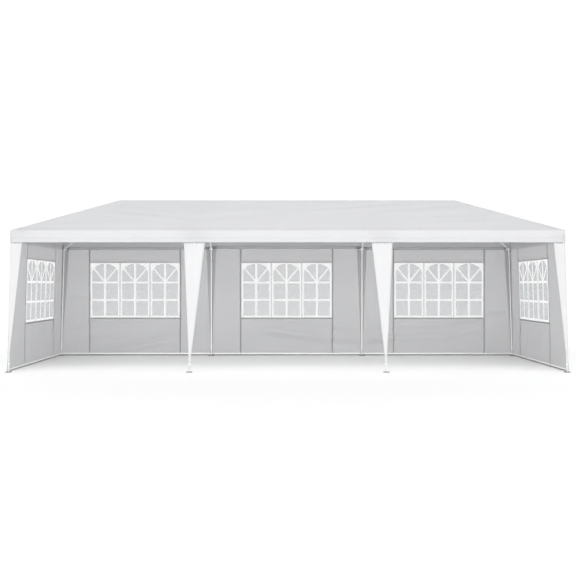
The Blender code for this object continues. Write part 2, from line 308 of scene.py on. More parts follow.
def clothMaterial(look):
    # woven polyethylene: crossed tapes by two sine waves on the map in metres, broad cloudy tone, and part
    # of the light passing through. A cloth with inner shaded colours has them on the side towards the tent:
    # a painted shade, with its own passing colour there as painted light
    material, tree = startMaterial(look.name)
    uv = addNode(tree, "UVMap", uv_map="cloth")
    bands = 2 * math.pi / (20 * look.tape)  # a wave texture's scale for one tape width
    warp, weft = (addNode(tree, "TexWave", {"Vector": uv}, bands_direction=way, Scale=bands,
                          Distortion=0.0, give="Fac") for way in "XY")
    weave = calc(tree, "MAXIMUM", warp, weft)
    cloud = noise(tree, uv, look.cloudScale, detail=3.0)
    tone = remap(tree, cloud, noiseSpan, (1 - look.cloud, 1 + look.cloud), clamp=False)
    shade = calc(tree, "MULTIPLY", tone, remap(tree, weave, (0, 1), (1 - look.thread, 1)))
    if "soil" in look:  # painted shade: the colour darker towards the bottom, fading out upwards
        height = addNode(tree, "SeparateXYZ", {0: uv}, give="Y")
        soil = remap(tree, height, (0, look.soilTop), (1 - look.soil, 1), soft=True)
        shade = calc(tree, "MULTIPLY", shade, soil)
    colour, through = look.colour, (*look.through, 1)
    # painted shade and light on the side towards the tent
    if "innerColour" in look:
        colour = bySide(tree, colour, look.innerColour)
        through = bySide(tree, look.through, look.innerThrough)
    crumple = noise(tree, uv, look.crumpleScale, detail=4.0)
    soft = relief(tree, crumple, look.crumple, distance=0.02)
    fine = relief(tree, weave, look.weave, distance=0.0006, Normal=soft)
    surface = addNode(tree, "BsdfPrincipled", {"Base Color": scaled(tree, colour, shade), "Normal": fine},
                      Roughness=look.roughness, Specular_IOR_Level=0.35)
    passing = addNode(tree, "BsdfTranslucent", {"Normal": soft, "Color": through})
    mix = addNode(tree, "MixShader", {0: look.share, 1: surface, 2: passing})
    addNode(tree, "OutputMaterial", {"Surface": mix})
    return material


def steelMaterial(look):
    # powder coat on tube: fine orange peel and a faint cloudy tone over the object's own place, scuffed
    # in patches near the ground, with bare grey zinc on the foot plates darkened near black by painted shade
    material, tree = startMaterial(look.name)
    places = addNode(tree, "TexCoord", give="Object")
    height = addNode(tree, "SeparateXYZ", {0: places}, give="Z")
    cloud = noise(tree, places, look.cloudScale, detail=3.0)
    low = remap(tree, height, (look.plateTop, look.scuffTop), (look.scuff, 0))
    patch = remap(tree, noise(tree, places, look.gritScale, detail=5.0), look.grit, (0, 1))
    unworn = calc(tree, "SUBTRACT", 1.0, calc(tree, "MULTIPLY", low, patch))
    tone = remap(tree, cloud, (0, 1), (1 - look.cloud, 1))
    colour = scaled(tree, look.colour, calc(tree, "MULTIPLY", tone, unworn))
    if "foot" in look:  # a plastic foot sleeve in its own grey
        foot = scaled(tree, look.foot, unworn)
        colour = mixed(tree, calc(tree, "GREATER_THAN", height, look.footTop), foot, colour)
    # the foot plates: grey zinc darkened by painted shade
    above = calc(tree, "GREATER_THAN", height, look.plateTop)
    colour = mixed(tree, above, (*look.plate, 1), colour)
    spread = look.glossSpread
    gloss = remap(tree, cloud, (0, 1), (look.roughness - spread, look.roughness + spread))
    dull = addNode(tree, "Mix", {0: above, 2: look.plateRoughness, 3: gloss}, data_type="FLOAT")
    skin = relief(tree, noise(tree, places, look.peelScale, detail=2.0), look.peel, distance=0.0004)
    surface = addNode(tree, "BsdfPrincipled", {"Base Color": colour, "Normal": skin, "Roughness": dull},
                      Metallic=look.metallic)
    addNode(tree, "OutputMaterial", {"Surface": surface})
    return material


def filmMaterial(look):
    # clear film: most light passes straight, the rest is a soft haze with a glossy rippled skin
    material, tree = startMaterial(look.name)
    ripple = noise(tree, addNode(tree, "TexCoord", give="Object"), look.rippleScale, detail=2.0)
    skin = relief(tree, ripple, look.ripple, distance=0.01)
    spread = look.hazeSpread
    haze = remap(tree, ripple, (0, 1), (look.haze - spread, look.haze + spread))
    clear = addNode(tree, "BsdfTransparent", Color=(*look.through, 1))
    surface = addNode(tree, "BsdfPrincipled", {"Normal": skin}, Base_Color=(*look.colour, 1),
                      Roughness=look.roughness)
    mix = addNode(tree, "MixShader", {0: haze, 1: clear, 2: surface})
    addNode(tree, "OutputMaterial", {"Surface": mix})
    return material


woven = settings(tape=0.0025, cloudScale=1.3, cloud=0.012, thread=0.04, crumpleScale=6.0, crumple=0.16,
                 weave=0.25, roughness=0.5)
# its inner colour, a little darker, is a faint painted shade on the faces towards the tent
roofCloth = clothMaterial(settings(
    woven, name="roof cloth", colour=(0.880, 0.881, 0.890), through=(0.95, 0.952, 0.96),
    innerColour=(0.85, 0.852, 0.856), innerThrough=(0.95, 0.951, 0.955), share=0.65))
# the wall cloth's inner faces are darker than its outer ones, painted shade, and pass more light, painted
# light
wallLook = settings(
    woven, name="wall cloth", colour=(0.88, 0.881, 0.885), through=(0.90, 0.901, 0.905),
    # painted shade: the wall's colour darker towards the bottom, on both faces
    innerColour=(0.545, 0.546, 0.552), innerThrough=(0.938, 0.939, 0.944), share=0.53, soil=0.13, soilTop=1.3)
wallCloth = clothMaterial(wallLook)
# the end walls' inner faces darker still: more painted shade
endCloth = clothMaterial(settings(wallLook, name="end wall cloth", innerColour=(0.490, 0.491, 0.497)))
# the header's inner faces lighter than the wall's: less painted shade and more passing light
headerCloth = clothMaterial(settings(
    wallLook, name="wall header cloth", innerColour=(0.80, 0.801, 0.807),
    innerThrough=(0.95, 0.951, 0.955), share=0.66, soil=0.0))
skirtCloth = clothMaterial(settings(
    woven, name="skirt cloth", colour=(0.865, 0.867, 0.87), through=(0.93, 0.932, 0.935),
    share=0.45, cloudScale=1.6, cloud=0.010, thread=0.03, crumpleScale=8.0, crumple=0.14))
printWhite = clothMaterial(settings(
    name="window print", colour=(0.985, 0.985, 0.985), through=(0.99, 0.99, 0.99), share=0.84, tape=0.006,
    cloudScale=2.0, cloud=0.004, thread=0.01, crumpleScale=9.0, crumple=0.05, weave=0.05, roughness=0.35))
threadWhite = clothMaterial(settings(
    name="sewing thread", colour=(0.97, 0.97, 0.97), through=(0.95, 0.95, 0.95), share=0.25, tape=0.001,
    cloudScale=4.0, cloud=0.01, thread=0.10, crumpleScale=40.0, crumple=0.05, weave=0.05, roughness=0.6))
clearFilm = filmMaterial(settings(
    name="clear film", colour=(0.80, 0.81, 0.82), through=(0.800, 0.808, 0.814), haze=0.22,
    hazeSpread=0.02, rippleScale=4.0, ripple=0.08, roughness=0.16))
# the foot plates' near-black colour is grey zinc darkened by painted shade
powderCoat = settings(
    name="white powder coat", colour=(0.985, 0.985, 0.985), plate=(0.045, 0.046, 0.048), plateTop=0.0055,
    plateRoughness=0.9, scuffTop=0.035, scuff=0.22, grit=(0.52, 0.62), gritScale=60.0, peelScale=900.0,
    peel=0.2, cloudScale=5.0, cloud=0.03, roughness=0.30, glossSpread=0.06, metallic=0.08)
legCoat = settings(powderCoat, name="leg powder coat", scuffTop=0.16, foot=(0.72, 0.73, 0.74), footTop=0.125)
whiteSteel = steelMaterial(powderCoat)
legSteel = steelMaterial(legCoat)
# the back legs' copy paints the foot plates lighter, where the front ones carry painted shade
backLegSteelLighterPlate = steelMaterial(settings(legCoat, name="back leg powder coat, plate painted lighter", plate=(0.14, 0.141, 0.144)))
hubPlastic = steelMaterial(settings(
    powderCoat, name="hub plastic", peel=0.1, cloud=0.02, roughness=0.42, metallic=0.0))
print("materials made")


# Canopy

canopy = settings(
    rowsRoof=42, rowsArc=5, rowsValance=16, columnsLong=200, columnsEnd=60, columnsCorner=6,
    edgeRadius=0.010, cornerRadius=0.014, cornerStart=0.25, thickness=0.0012, rise=0.008, lip=0.0045,
    sag=0.010, sagFromHip=(0, 0.6), foldScale=2.0,
    foldFromEdge=(0.02, 0.22), foldFromHip=(0, 0.35), foldFromRidge=(-0.02, 0.25),
    wave=0.004, waveTurns=5.1, drift=1.3, driftTurns=1.7, backEase=0.15,
    hemLine=0.062, hemRows=0.006, pinch=0.0020, pinchWidth=0.006,
    puff=0.003, puffs=((0.032, 0.022), (0.105, 0.035)), puffBelow=(0.004, 0.03),  # puffs: height, width
    welt=0.009, weltHeight=0.0025, endShorter=0.012, endFrom=(-1.42, -0.9),
    bayShorter=0.021, backShorter=0.041, backFrom=(0.7, 1.46), middleBay=(1.35, 1.65))


def canopyProfile():
    # down the slope from the ridge, round the eave on a small arc, then straight down the valance:
    # distance out from the ridge, height and length along the cloth of each row
    half, radius = tent.halfWidth - tent.fabric / 2, canopy.edgeRadius
    slope = (tent.ridgeHeight - tent.edgeHeight) / tent.halfWidth
    tilt = math.atan(slope)
    top = tent.ridgeHeight - tent.fabric / 2 * math.hypot(1, slope)
    reach = radius * math.tan((math.pi / 2 - tilt) / 2)  # from the sharp edge to where the arc starts
    edge = np.array([half, top - slope * half])
    start = edge + reach * np.array([-math.cos(tilt), math.sin(tilt)])
    ridge = np.array([0, top + canopy.rise])
    roof = ridge + (start - ridge) * np.linspace(0, 1, canopy.rowsRoof)[:, None]
    angles = np.linspace(tilt, math.pi / 2, canopy.rowsArc + 1)[1:]
    arc = [half - radius, edge[1] - reach] + radius * np.stack([np.sin(angles), np.cos(angles)], axis=1)
    down = np.linspace(arc[-1, 1], tent.valanceBottom - canopy.lip, canopy.rowsValance)[1:]
    hem = tent.valanceBottom + canopy.hemLine + canopy.hemRows * np.arange(-2, 3)
    down = np.unique([*down, *hem])[::-1]
    rows = np.vstack([roof, arc, np.stack([np.full_like(down, half), down], axis=1)])
    return rows[:, 0], rows[:, 1], lengths(rows)


def loopPoints(a, b, radius):
    # a rectangle of half sizes a and b with round corners, counter-clockwise from the front left, each
    # point as x + iy, so that a product with i is a quarter turn
    turn = np.linspace(0, math.pi / 2, canopy.columnsCorner, endpoint=False)
    sides = []
    for quarter in range(4):
        length, other, columns = (b, a, canopy.columnsEnd) if quarter % 2 else (a, b, canopy.columnsLong)
        reach = length - radius
        straight = -reach + 2 * reach * np.linspace(0, 1, columns, endpoint=False)
        bend = reach + radius * (np.sin(turn) + 1j * (1 - np.cos(turn)))
        sides.append((np.concatenate([straight, bend]) - 1j * other) * 1j ** quarter)
    loop = np.concatenate(sides)
    return np.stack([loop.real, loop.imag], axis=1)


def crease(x, y, start, end, width, height):
    # a long soft fold from start to end: a hill across the line, whole over its middle half, faded beyond
    dx, dy = end[0] - start[0], end[1] - start[1]
    length = math.hypot(dx, dy)
    along = ((x - start[0]) * dx + (y - start[1]) * dy) / length ** 2
    off = ((x - start[0]) * dy - (y - start[1]) * dx) / length
    return height * within(along, 0.25, 0.75, margin=0.4) * bump(off, 0, width)


def folds(rows):
    # rows of start, end, width and height, in metres; one that ends with a shift has its valley there
    made = []
    for x0, y0, x1, y1, width, height, *shift in rows:
        made.append(((x0, y0), (x1, y1), width, height))
        if shift:
            dx, dy = shift
            made.append(((x0 + dx, y0 + dy), (x1 + dx, y1 + dy), width, -height))
    return made


slopeFolds = folds([
    (-3.29, -0.59, -1.75, -0.99, 0.10, 0.010, 0.04, 0.14),
    (-1.76, -0.78, -0.38, -0.43, 0.13, 0.009, 0.06, -0.18),
    (0.40, -0.59, 3.01, -0.10, 0.10, 0.010, -0.02, 0.14),
    (1.64, -0.68, 3.39, -0.43, 0.13, 0.009, 0.02, -0.18),
    (2.20, -1.20, 3.90, -0.99, 0.09, 0.009, 0, 0.14), (-3.9, -1.25, -2.3, -1.12, 0.09, 0.005),
    (-4.2, -1.36, 4.2, -1.36, 0.07, -0.004), (4.1, -0.8, 3.5, 0.3, 0.12, -0.008),
    (4.2, 0.1, 3.4, 0.6, 0.10, 0.007)])
roofFolds = slopeFolds + [  # the back slope carries the same folds turned half round
    ((-a[0], -a[1]), (-b[0], -b[1]), width, height) for a, b, width, height in slopeFolds]


def canopyTrim(points):
    # a narrow welt along each hip line, and the row of stitches that holds the valance's hem
    sides = np.array([canopy.columnsLong, canopy.columnsEnd] * 2) + canopy.columnsCorner
    parts = []
    for column in np.cumsum(sides) - canopy.columnsCorner // 2:
        path = points[1:canopy.rowsRoof + 2, column]
        run = path[-1] - path[0]
        across = np.array([run[1], -run[0], 0.0]) / math.hypot(run[0], run[1])
        outward = unit(np.cross(across, run))
        outward = outward * np.sign(outward[2])
        path = path + outward * canopy.thickness * 0.4  # its foot lies within the cloth
        parts.append(tape(path, across, outward, canopy.welt, canopy.weltHeight))
    row = int(np.argmin(abs(points[:, 0, 2] - tent.valanceBottom - canopy.hemLine)))
    line = points[row]
    tangent = unit(np.roll(line, -1, axis=0) - np.roll(line, 1, axis=0))
    outward = np.stack([tangent[:, 1], -tangent[:, 0], np.zeros(len(line))], axis=1)
    parts.append(stitches(np.vstack([line, line[:1]]), np.vstack([outward, outward[:1]])))
    return joined("canopy_trim", parts)


sleeve = settings(low=2.172, high=2.270, measure=2.05, radius=0.0168, thickness=0.0010, inward=0.0012,
                  sides=32, rows=8)


def legSleeves():
    # a short closed tube of cloth round each leg's top, given as the loop of rings up the outer face and
    # down the inner one. Its middle follows the leg's lean and sits a little inwards, off the walls
    ups = np.linspace(sleeve.low, sleeve.high, sleeve.rows)
    heights = np.concatenate([ups, ups[::-1]])[:, None]
    radii = np.repeat([sleeve.radius, sleeve.radius - sleeve.thickness], len(ups))[:, None, None]
    parts = []
    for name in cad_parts:
        if name.endswith("_leg"):
            points = nodePoints(name)
            ring = points[abs(points[:, 2] - sleeve.measure) < 1e-3]
            centre = (ring.max(axis=0) + ring.min(axis=0))[:2] / 2
            lean = np.array([tent.splay if "corner" in name else 0.0, 0.0])
            middles = centre - np.sign(centre) * (sleeve.inward + lean * (heights - sleeve.measure))
            flat = middles[:, None] + circle(sleeve.sides) * radii
            up = np.broadcast_to(heights[:, None], (*flat.shape[:2], 1))
            parts.append(ringLoop(np.concatenate([flat, up], axis=-1)))
    return joined("canopy_leg_sleeves", parts)


def makeCanopy():
    # the roof and the valance in one: a loop for each row of the profile, then sag, folds, wave and hem
    half, halfLong = tent.halfWidth - tent.fabric / 2, tent.halfLength - tent.fabric / 2
    stretch = (halfLong - tent.halfRidge) / half  # how fast the plan grows in length against width
    rings, uvs = [], []
    for distance, height, length in zip(*canopyProfile()):
        ring = loopPoints(tent.halfRidge + stretch * distance, distance,
                          min(canopy.cornerRadius, distance * canopy.cornerStart))
        around = lengths(ring)
        rings.append(np.column_stack([ring, np.full(len(ring), height)]))
        uvs.append(np.column_stack([around - around.mean(), np.full(len(ring), length)]))
    points, uv = np.array(rings), np.array(uvs)
    x, y, z = (points[..., axis] for axis in range(3))  # views, so that a change to one moves the points
    toLong, toEnd = tent.halfWidth - abs(y), tent.halfLength - abs(x)
    inset, hip = np.minimum(toLong, toEnd), abs(toLong - toEnd / stretch)  # from the edge, from a hip line
    free = (smoothStep(*canopy.foldFromEdge, inset) * smoothStep(*canopy.foldFromHip, hip)
            * smoothStep(*canopy.foldFromRidge, abs(y)))
    folded = sum(crease(x, y, *fold) for fold in roofFolds)
    bay = 0.5 - 0.5 * np.cos(2 * math.pi * np.clip(inset / tent.halfWidth, 0, 1))
    z += canopy.foldScale * folded * free - canopy.sag * bay * smoothStep(*canopy.sagFromHip, hip)
    # the valance waves a little outwards towards its lower edge, is pinched along the hem's stitches and
    # puffs out above and below them
    onLong, onEnd = np.isclose(abs(y), half, atol=1e-4), np.isclose(abs(x), halfLong, atol=1e-4)
    under = z - tent.valanceBottom
    swing = uv[..., 0] * canopy.waveTurns + canopy.drift * np.sin(uv[..., 0] * canopy.driftTurns)
    wave = canopy.wave * (1 - smoothStep(0, tent.drop, under)) * (0.5 + 0.5 * np.sin(swing))
    wave += smoothStep(*canopy.puffBelow, tent.edgeHeight - z) * (
        canopy.puff * sum(bump(under, *puff) for puff in canopy.puffs)
        - canopy.pinch * bump(under, canopy.hemLine, canopy.pinchWidth))
    x += np.where(onEnd, np.sign(x) * wave, 0)
    y += np.where(onLong, np.where(y > 0, canopy.backEase, -1.0) * wave, 0)  # straighter on the back
    # it ends a little higher on the ends than in front, higher again on the back, and most in the back's
    # middle bay
    middle = 1 - smoothStep(*canopy.middleBay, abs(x))
    behind = canopy.bayShorter + (canopy.backShorter - canopy.bayShorter) * middle
    shorter = (canopy.endShorter * smoothStep(*canopy.endFrom, y)
               + (behind - canopy.endShorter) * smoothStep(*canopy.backFrom, y))
    z += shorter * np.clip((tent.edgeHeight - z) / tent.drop, 0, 1)
    piece = clothSurface("canopy", points, uv, canopy.thickness, wrap=True)
    place(piece, roofCloth, "canopy_fabric",
          "front_roof_panel", "back_roof_panel", "left_roof_end", "right_roof_end",
          "front_valance", "back_valance", "left_valance", "right_valance")
    sewn = [place(part, roofCloth, "canopy_fabric") for part in (canopyTrim(points), legSleeves())]


makeCanopy()
print("canopy made")


# Walls

wall = settings(
    step=0.028, thickness=0.0008, foot=0.003, below=0.003, bulge=0.012, bellyPower=0.8, flatBulge=0.9,
    bellyTop=(2.2, 1.2), bellyFoot=(0, 0.5), foldScale=3.0, foldTop=(2.15, 1.9), foldFoot=(0.02, 0.14),
    endFolds=0.6, endShorter=3, endWider=2, flatMargin=0.10, covered=0.035, holeMargin=0.004, holeTop=-0.001,
    seamWidth=0.028, seamAbove=0.017, seamBelow=0.026, seamTop=2.143, seamThickness=0.0008, seamRows=76,
    seamColumns=54, seamInset=0.001, sewAt=0.046, sewBeside=0.008, hem=0.018, hemColumns=90,
    hemInset=0.002, sewHem=0.006, binding=0.014, bindingHeight=2.137, bindingEnd=0.085, bindingStep=0.034,
    bindingThickness=0.002, inset=0.004, headerLow=2.126, headerMiddle=2.146, headerWidth=0.054,
    headerThickness=0.0010)

wallFolds = folds([  # over (along, up) on the three back walls as one
    (-0.54, 0.424, 0.81, 0.243, 0.085, 0.012, 0, 0.11), (0.75, 0.243, 2.14, 0.243, 0.085, 0.011, 0, 0.11),
    (-0.80, 0.716, 0.81, 0.474, 0.07, 0.010), (0.81, 0.474, 1.82, 0.474, 0.07, 0.010),
    (1.82, 0.474, 3.15, 0.514, 0.07, 0.010, 0, -0.12), (3.15, 0.514, 3.96, 0.675, 0.07, 0.010, 0, -0.12),
    (-3.86, 0.12, -2.21, 0.404, 0.05, 0.007, 0, -0.09), (-4.3, 0.50, -2.6, 0.66, 0.07, 0.006, 0, -0.12),
    (-1.74, 1.275, -0.94, 1.275, 0.070, 0.0045, 0, 0.09), (4.05, 0.820, 4.45, 0.820, 0.050, 0.006, 0, 0.075),
    (-4.4, 1.25, -3.9, 1.18, 0.04, -0.007)])

walls = {  # each wall's side of the tent, and the skirts over its two edges
    "back_left": ("back", "back_left_corner", "back_left_middle"),
    "back_centre": ("back", "back_left_middle", "back_right_middle"),
    "back_right": ("back", "back_right_middle", "back_right_corner"),
    "left_end": ("left_end", "front_left_corner", "back_left_corner"),
    "right_end": ("right_end", "front_right_corner", "back_right_corner")}


def spaced(low, high, marks, step):
    # numbers from low to high about step apart, with every mark among them
    stops = np.unique(np.round([low, *marks, high], 6))
    runs = [np.linspace(a, b, max(2, round((b - a) / step) + 1))[:-1] for a, b in zip(stops, stops[1:])]
    return np.concatenate(runs + [[high]])


def wallShape(end):
    # turns (along, up, out) into a place: out of the tent is +Y on the back, and the end planes lean
    sign = -1 if end == "left_end" else 1

    def shape(along, up, out):
        if end == "back":
            spot = (along, tent.wallY + out, up)
        else:
            spot = (sign * (tent.endWallFoot - tent.splay * up + out), along, up)
        return np.stack(np.broadcast_arrays(*spot), axis=-1).astype(float)

    return shape


def wallBulge(end, along, up, extent):
    # how far the cloth stands out: flat under the skirts, a soft belly with folds between them, and even
    # over the window
    low, high = extent.span(up)
    left, right, bottom, top = extent.window
    side = np.clip((along - low) / (high - low), 0, 1)
    belly = (wall.bulge * np.sin(math.pi * side) ** wall.bellyPower
             * smoothStep(*wall.bellyTop, up) * smoothStep(*wall.bellyFoot, up))
    if end == "back":
        folded = sum(crease(along, up, *fold) for fold in wallFolds)
    else:  # the ends carry the same folds, shorter and fainter
        folded = wall.endFolds * sum(
            crease(wall.endShorter * along, up, start, finish, wall.endWider * width, height)
            for start, finish, width, height in wallFolds)
    folded = folded * wall.foldScale * smoothStep(*wall.foldTop, up) * smoothStep(*wall.foldFoot, up)
    near = within(along, left, right, wall.flatMargin) * within(up, bottom, top, wall.flatMargin)
    share = np.clip((up - tent.skirtTip) / (tent.skirtTop - tent.skirtTip), 0, 1)
    first, last = (wall.covered + reach * share for reach in extent.reach)
    free = (smoothStep(0, wall.flatMargin, along - low - first)
            * smoothStep(0, wall.flatMargin, high - last - along))
    return free * ((belly + folded) * (1 - near) + wall.bulge * wall.flatBulge * near)


def wallExtent(name, end, coverings):
    # the wall's two ends at a height, its window as left, right, bottom and top, and how far the skirts
    # cover it at their tops
    points = nodePoints(name + "_wall")
    windowLow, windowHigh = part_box(name + "_window")
    axis = 0 if end == "back" else 1
    bottom, top = rim(points, -1)[:, axis], rim(points, 1)[:, axis]

    def span(up):
        share = (up - tent.wallBottom) / (tent.wallTop - tent.wallBottom)
        return (bottom.min() + (top.min() - bottom.min()) * share,
                bottom.max() + (top.max() - bottom.max()) * share)

    reach = []
    for covering in coverings:
        low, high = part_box(covering + "_skirt")
        reach.append((high[0] - low[0]) / 2 if covering.endswith("middle") else high[1] - low[1])
    margin = wall.holeMargin
    return settings(span=span, reach=reach,
                    film=(windowLow[axis], windowHigh[axis], windowLow[2], windowHigh[2]),
                    window=(windowLow[axis] - margin, windowHigh[axis] + margin,
                            windowLow[2] - margin, windowHigh[2] + wall.holeTop))


def makeWall(name, end, *coverings):
    # a grid over (along, up) with the window's cells left out, then its seams, stitches and header
    extent = wallExtent(name, end, coverings)
    span = extent.span
    left, right, bottom, top = extent.window
    shape = wallShape(end)
    base = span(wall.foot)
    ups = spaced(wall.foot, tent.wallTop - wall.below, (bottom, top), wall.step)
    alongs = spaced(base[0], base[1], (left, right), wall.step)
    up, along = np.meshgrid(ups, alongs, indexing="ij")
    low, high = span(up)
    # columns outside the window lean with the wall's own edges
    outer = np.where(along < left, low + (along - base[0]) * (left - low) / (left - base[0]), along)
    outer = np.where(along > right, high - (base[1] - along) * (high - right) / (base[1] - right), outer)
    points = shape(outer, up, wallBulge(end, outer, up, extent))
    centreAlong = (alongs[:-1] + alongs[1:]) / 2
    centreUp = (ups[:-1] + ups[1:])[:, None] / 2
    inWindow = (centreAlong > left) & (centreAlong < right) & (centreUp > bottom) & (centreUp < top)
    piece = clothSurface(name + "_wall_cloth", points, np.stack([outer, up], axis=-1), wall.thickness,
                         keep=~inWindow)
    cloth = wallCloth if end == "back" else endCloth
    place(piece, cloth, "wall_fabric", name + "_wall")

    def surface(along, up, lift=0.0):  # a point on the wall's outer face
        along, up = np.broadcast_arrays(np.asarray(along, float), np.asarray(up, float))
        return shape(along, up, wallBulge(end, along, up, extent) + wall.thickness / 2 + lift)

    seams, threads = seamParts(end, surface, span, extent.window)
    sewn = [place(joined(name + "_wall_seams", seams), cloth, "wall_fabric"),
            place(joined(name + "_wall_stitches", threads), threadWhite, "wall_fabric")]
    if end == "back":  # the doubled cloth along the top, inside
        middle = wall["headerMiddle" if left < 0 < right else "headerLow"] + wall.headerWidth / 2
        first, last = span(middle)
        level = np.linspace(first + wall.inset, last - wall.inset, wall.seamColumns)
        header = tape(surface(level, middle, -wall.thickness), (0, 0, 1), (0, -1, 0),
                      wall.headerWidth, wall.headerThickness)
        sewn.append(place(joined(name + "_wall_header", [header]), headerCloth, "wall_fabric"))
    return surface, extent.film


def seamParts(end, surface, span, window):
    # doubled bands of cloth on both faces: upright on both sides of the window, level above and below it,
    # and along the foot. A row of stitches runs beside each band, and a bright binding runs inside
    left, right, bottom, top = window
    sideways = (1, 0, 0) if end == "back" else (0, 1, 0)
    upward = (0, 0, 1)
    outward = surface(0.0, 1.0, 1.0) - surface(0.0, 1.0, 0.0)
    bands, threads = [], []

    def band(along, up, across, width):  # one on each face of the cloth
        for lift, facing in ((0.0, 1), (-wall.thickness, -1)):
            bands.append(tape(surface(along, up, lift), across, outward * facing, width, wall.seamThickness))

    def sew(along, up):
        threads.append(stitches(surface(along, up, -wall.thickness / 2), outward))

    upright = np.linspace(wall.foot + wall.seamInset, wall.seamTop, wall.seamRows)
    for edge, sign in ((left, -1), (right, 1)):
        band(edge + sign * wall.seamWidth / 2, upright, sideways, wall.seamWidth)
        sew(edge + sign * (wall.seamWidth + wall.sewBeside), upright)
    level = np.linspace(left, right, wall.seamColumns)
    for edge, sign, width in ((top, 1, wall.seamAbove), (bottom, -1, wall.seamBelow)):
        band(level, edge + sign * width / 2, upward, width)
        sew(level, edge + sign * wall.sewAt)
    low, high = span(wall.foot)
    level = np.linspace(low + wall.hemInset, high - wall.hemInset, wall.hemColumns)
    band(level, wall.foot + wall.hem / 2, upward, wall.hem)
    sew(level, wall.foot + wall.hem + wall.sewHem)
    if end == "back":  # the binding shows between the middle window's seams and beside the legs
        low, high = span(wall.bindingHeight)
        pieces = [(low + wall.inset, low + wall.bindingEnd), (high - wall.bindingEnd, high - wall.inset)]
        for start, finish in pieces + ([(left, right)] if left < 0 < right else []):
            level = np.linspace(start, finish, max(4, round((finish - start) / wall.bindingStep)))
            threads.append(tape(surface(level, wall.bindingHeight, -wall.thickness), upward, -outward,
                                wall.binding, wall.bindingThickness))
    return bands, threads


wallSurfaces = {name: makeWall(name, *row) for name, row in walls.items()}
print("walls made")


# Windows

pane = settings(
    lights=3, stripe=0.022, stripeFoot=0.012, stripeHead=0.006, frame=0.034, foot=0.037, head=0.020,
    bar=0.041, centreBar=0.044, barLow=0.350, barHigh=0.702, arch=0.187, archSteps=361, archPoints=16,
    fan=0.034, fanTilt=50.0, fanFoot=0.012, thickness=0.0009, film=0.0003, under=0.002, depth=-0.0022,
    overlap=0.009, leastArea=0.3)


def rectangle(left, right, low, high):
    return np.array([(left, low), (right, low), (right, high), (left, high)])


def halfLight(reach, height, trim):
    # the four panes in the right half of a window's light, from its middle: two rows and an arched head
    # of two, one beside the centre bar and one under the fan bar. The arch is half an ellipse over
    # straight sides, and the fan bar climbs from the foot of the centre bar at its own angle
    half, fan, bar = (size / 2 - trim for size in (pane.centreBar, pane.fan, pane.bar))
    tilt = math.radians(pane.fanTilt)
    direction = np.array([math.cos(tilt), math.sin(tilt)])
    normal = np.array([-math.sin(tilt), math.cos(tilt)])
    foot = np.array([0.0, pane.barHigh + pane.bar / 2 - pane.fanFoot])
    angles = np.linspace(0, math.pi / 2, pane.archSteps)
    spring = height - pane.head - pane.arch
    arch = np.stack([reach * np.cos(angles), spring + (pane.arch + trim) * np.sin(angles)], axis=1)
    side = (arch - foot) @ normal

    def head(start, axis, goal, corners, curve):
        # the bar's edge from start to its goal along an axis, then the corners and the arch
        first = start + direction * (goal - start[axis]) / direction[axis]
        picked = np.linspace(0, len(curve) - 1, pane.archPoints).round().astype(int)
        return np.vstack([first, *corners, curve[picked]])

    return [rectangle(half, reach, pane.foot - trim, pane.barLow - bar),
            rectangle(half, reach, pane.barLow + bar, pane.barHigh - bar),
            head(foot + normal * fan, 0, half, (), arch[(side > fan) & (arch[:, 0] > half)]),
            head(foot - normal * fan, 1, pane.barHigh + bar, [(reach, pane.barHigh + bar)],
                 arch[side < -fan])]


def paneOutlines(width, height, trim):
    # every clear pane of a window, as outlines over (along, up) from the window's lower left corner: both
    # halves of each light, and a clear stripe between the lights
    light = (width - (pane.lights - 1) * pane.stripe) / pane.lights
    panes = halfLight(light / 2 - pane.frame + trim, height, trim)
    outlines = []
    for edge in np.arange(pane.lights) * (light + pane.stripe):
        outlines += [outline * (sign, 1) + (edge + light / 2, 0) for outline in panes for sign in (-1, 1)]
        if edge:
            outlines.append(rectangle(edge - pane.stripe - trim, edge + trim, pane.stripeFoot - trim,
                                      height - pane.stripeHead + trim))
    return outlines


def flatOnWall(name, outlines, thickness, surface, window):
    # a flat shape from outlines, the inner ones cut out and its thickness given both ways, moved from
    # (along, up, depth) onto the wall, with a map in metres
    curve = bpy.data.curves.new(name, "CURVE")
    curve.dimensions = "2D"
    curve.fill_mode = "BOTH"
    curve.extrude = thickness / 2
    for outline in outlines:
        spline = curve.splines.new("POLY")
        spline.points.add(len(outline) - 1)
        write(spline.points, "co", np.column_stack([outline, np.zeros(len(outline)), np.ones(len(outline))]))
        spline.use_cyclic_u = True
    temporary = addObject(name + "_curve", curve)
    bpy.context.view_layer.update()
    mesh = bpy.data.meshes.new_from_object(temporary.evaluated_get(bpy.context.evaluated_depsgraph_get()))
    bpy.data.objects.remove(temporary)
    flat = meshPoints(mesh)
    along, up = window[0] + flat[:, 0], window[2] + flat[:, 1]
    outward = surface(along, up, 1.0) - surface(along, up, 0.0)
    write(mesh.vertices, "co", surface(along, up, pane.depth) + outward * flat[:, 2:3])
    corner = np.empty(len(mesh.loops), np.int32)
    mesh.loops.foreach_get("vertex_index", corner)
    write(mesh.uv_layers.new(name="cloth").data, "uv", np.column_stack([along, up])[corner])
    return clean(addObject(name, mesh))


def makeWindow(name):
    # the print with its panes cut out, and clear film that reaches a little under the print
    surface, window = wallSurfaces[name]
    width, height = window[1] - window[0], window[3] - window[2]
    edge = pane.overlap
    border = rectangle(-edge, width + edge, -edge, height + edge)
    printed = place(flatOnWall(name + "_window_print", [border] + paneOutlines(width, height, 0.0),
                               pane.thickness, surface, window), printWhite, "window_film")
    film = place(flatOnWall(name + "_window_film", paneOutlines(width, height, pane.under), pane.film,
                            surface, window), clearFilm, "window_film", name + "_window")


for wallName in walls:
    makeWindow(wallName)
print("windows made")


# Skirts

